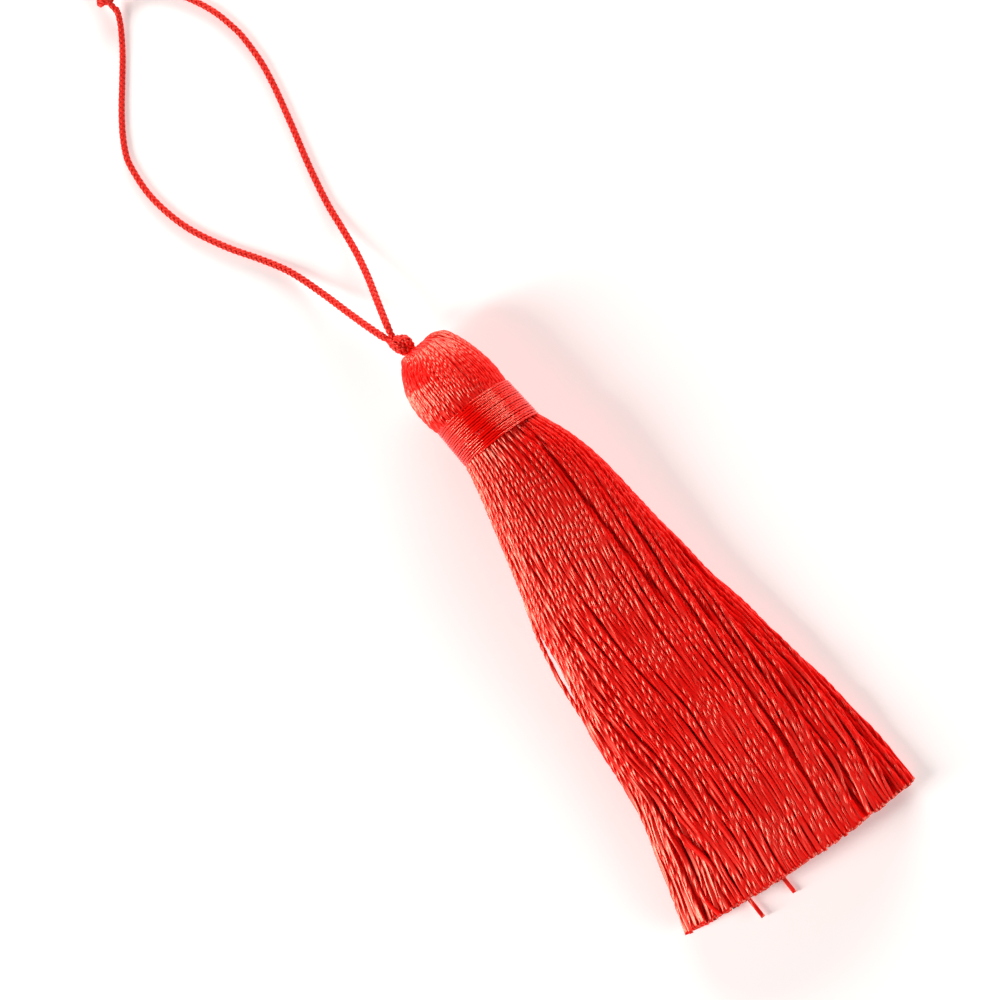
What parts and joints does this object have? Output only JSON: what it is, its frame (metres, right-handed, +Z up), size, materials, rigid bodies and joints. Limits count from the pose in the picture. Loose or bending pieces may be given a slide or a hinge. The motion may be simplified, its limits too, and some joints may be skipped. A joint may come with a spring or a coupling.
{
  "type": "silk tassel",
  "caption": "Red silk tassel lying on its side, with a wrapped neck, a straight-cut skirt of fine strands and a hanging loop of thin braided cord tied in a knot.",
  "frame": {"origin": "on the surface under the middle of the tassel itself, the hanging loop left out", "axes": "+Y from the cut end of the skirt to the head and its hanging loop, +Z up from the surface, +X to the right of the tassel seen from above with the head at the top"},
  "size_m": [0.0344, 0.1458, 0.0114],
  "materials": {
    "red_floss": "silky twisted floss",
    "red_wrapping_thread": "shiny fine thread",
    "red_braided_cord": "fine braid with a soft sheen"
  },
  "bodies": {
    "root": {"tassel": "red_floss", "neck_band": "red_wrapping_thread", "cord_left": "red_braided_cord", "cord_right": "red_braided_cord", "cord_end_left": "red_braided_cord", "cord_end_right": "red_braided_cord", "head_knot": "red_braided_cord", "end_knot": "red_braided_cord"}
  },
  "joints": []
}
